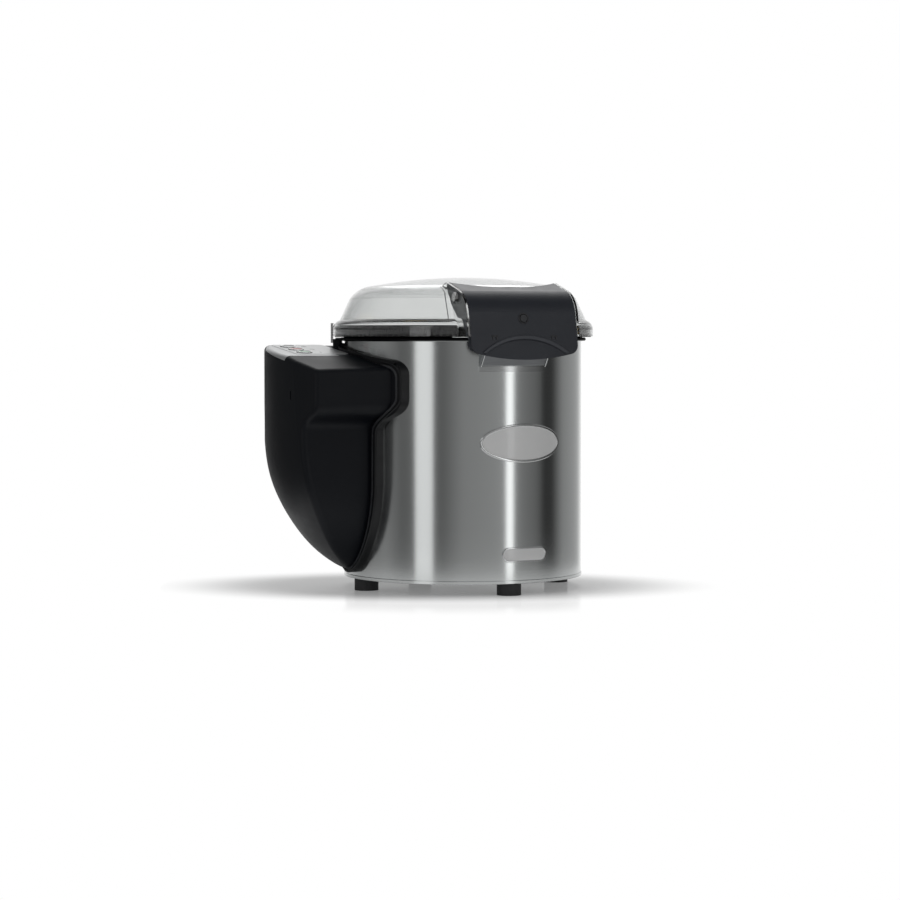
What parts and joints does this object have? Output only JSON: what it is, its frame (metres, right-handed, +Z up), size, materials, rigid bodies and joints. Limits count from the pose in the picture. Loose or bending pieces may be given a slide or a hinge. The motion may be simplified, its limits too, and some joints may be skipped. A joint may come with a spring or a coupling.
{
  "type": "electric potato peeler",
  "caption": "Bench potato peeler: steel cylinder on rubber feet, clear lid with hinged discharge flap, chute, side casing with keys, belt-driven abrasive disc.",
  "frame": {"origin": "on the floor, under the axis of the steel cylinder, at the centre of the four feet", "axes": "+Z up along the cylinder; the discharge flap faces -Y, the side casing -X, the drain and water stubs +Y"},
  "size_m": [0.5043, 0.4438, 0.47],
  "materials": {
    "stainless": "fine polish lines running round the cylinder",
    "zinc_steel": "zinc plated sheet, satin",
    "cast_alloy": "as cast, lightly blasted",
    "turned_steel": "turned and ground",
    "fastener_steel": "bright fasteners",
    "grit": "bonded abrasive grit",
    "black_moulding": "moulded, semi-matt, fine grain",
    "flap_moulding": "moulded, satin slate grey",
    "clear_lid": "smoke-clear, polished",
    "black_rubber": "moulded rubber, matt",
    "panel_face": "satin metal face",
    "green_key": "satin cap",
    "red_key": "satin cap",
    "grey_key": "satin cap",
    "board": "coated laminate",
    "component": "moulded",
    "winding": "enamelled copper wire",
    "laminations": "stacked laminations",
    "motor_paint": "baked enamel",
    "brass": "machined",
    "drain_plastic": "moulded"
  },
  "bodies": {
    "base": {"body_shell": "stainless", "base_plate": "zinc_steel", "foot_right": "black_rubber", "foot_rear": "black_rubber", "foot_left": "black_rubber", "foot_front": "black_rubber", "foot_studs": "fastener_steel", "discharge_chute": "stainless", "chamber_floor": "cast_alloy", "abrasive_liner": "grit", "bearing_housing": "cast_alloy", "housing_bolts": "fastener_steel", "shaft_bearings": "turned_steel", "shaft_seal": "black_rubber", "drain_elbow": "drain_plastic", "drain_seal": "black_rubber", "water_inlet": "brass", "spray_nozzle": "brass", "motor_shelf": "zinc_steel", "motor_frame": "motor_paint", "motor_shields": "cast_alloy", "motor_bearings": "turned_steel", "motor_stator": "winding", "fan_cowl": "motor_paint", "motor_bolts": "fastener_steel", "drive_belt": "black_rubber", "casing": "black_moulding", "casing_gasket": "black_rubber", "casing_screws": "fastener_steel", "control_panel": "panel_face", "circuit_board": "board", "electrical_plate": "zinc_steel", "contactor": "component", "transformer": "laminations", "capacitor": "component", "cable_gland": "black_moulding", "lid_sensor": "component"},
    "drive": {"main_shaft": "turned_steel", "drive_pin": "turned_steel", "driven_pulley": "cast_alloy", "pulley_bolt": "fastener_steel"},
    "disc": {"disc_carrier": "cast_alloy", "abrasive_coat": "grit", "disc_cap": "turned_steel"},
    "rotor": {"motor_shaft": "turned_steel", "rotor_core": "laminations", "motor_pulley": "turned_steel", "cooling_fan": "component"},
    "lid": {"lid_dome": "clear_lid", "lid_gasket": "black_rubber", "interlock_tab": "turned_steel", "pivot_bolts": "fastener_steel"},
    "flap": {"discharge_flap": "flap_moulding", "flap_screw": "fastener_steel", "flap_magnet": "laminations", "flap_seal": "black_rubber"},
    "start_key": {"start_key": "green_key"},
    "stop_key": {"stop_key": "red_key"},
    "timer_key": {"timer_key": "grey_key"}
  },
  "joints": [
    {"name": "drive_spin", "type": "hinge", "parent": "base", "child": "drive", "pos_m": [0, 0, 0.2], "axis": [0, 0, 1], "continuous": true},
    {"name": "disc_lift", "type": "slide", "parent": "drive", "child": "disc", "axis": [0, 0, 1], "range_m": [0, 0.08]},
    {"name": "rotor_spin", "type": "hinge", "parent": "base", "child": "rotor", "pos_m": [0.112, 0, 0.1], "axis": [0, 0, 1], "continuous": true},
    {"name": "lid_lift", "type": "slide", "parent": "base", "child": "lid", "axis": [0, 0, 1], "range_m": [0, 0.12]},
    {"name": "flap_swing", "type": "hinge", "parent": "lid", "child": "flap", "pos_m": [0, -0.169, 0.438], "axis": [-1, 0, 0], "range_deg": [0, 75]},
    {"name": "start_key_press", "type": "slide", "parent": "base", "child": "start_key", "axis": [0, 0.1189, -0.9929], "range_m": [0, 0.0008], "stiffness_N_per_m": 900, "springref_m": -0.0012},
    {"name": "stop_key_press", "type": "slide", "parent": "base", "child": "stop_key", "axis": [0, 0.1189, -0.9929], "range_m": [0, 0.0008], "stiffness_N_per_m": 900, "springref_m": -0.0012},
    {"name": "timer_key_press", "type": "slide", "parent": "base", "child": "timer_key", "axis": [0, 0.1189, -0.9929], "range_m": [0, 0.0008], "stiffness_N_per_m": 900, "springref_m": -0.0012}
  ],
  "couplings": [
    {"joint": "rotor_spin", "follows": "drive_spin", "ratio": 4}
  ]
}
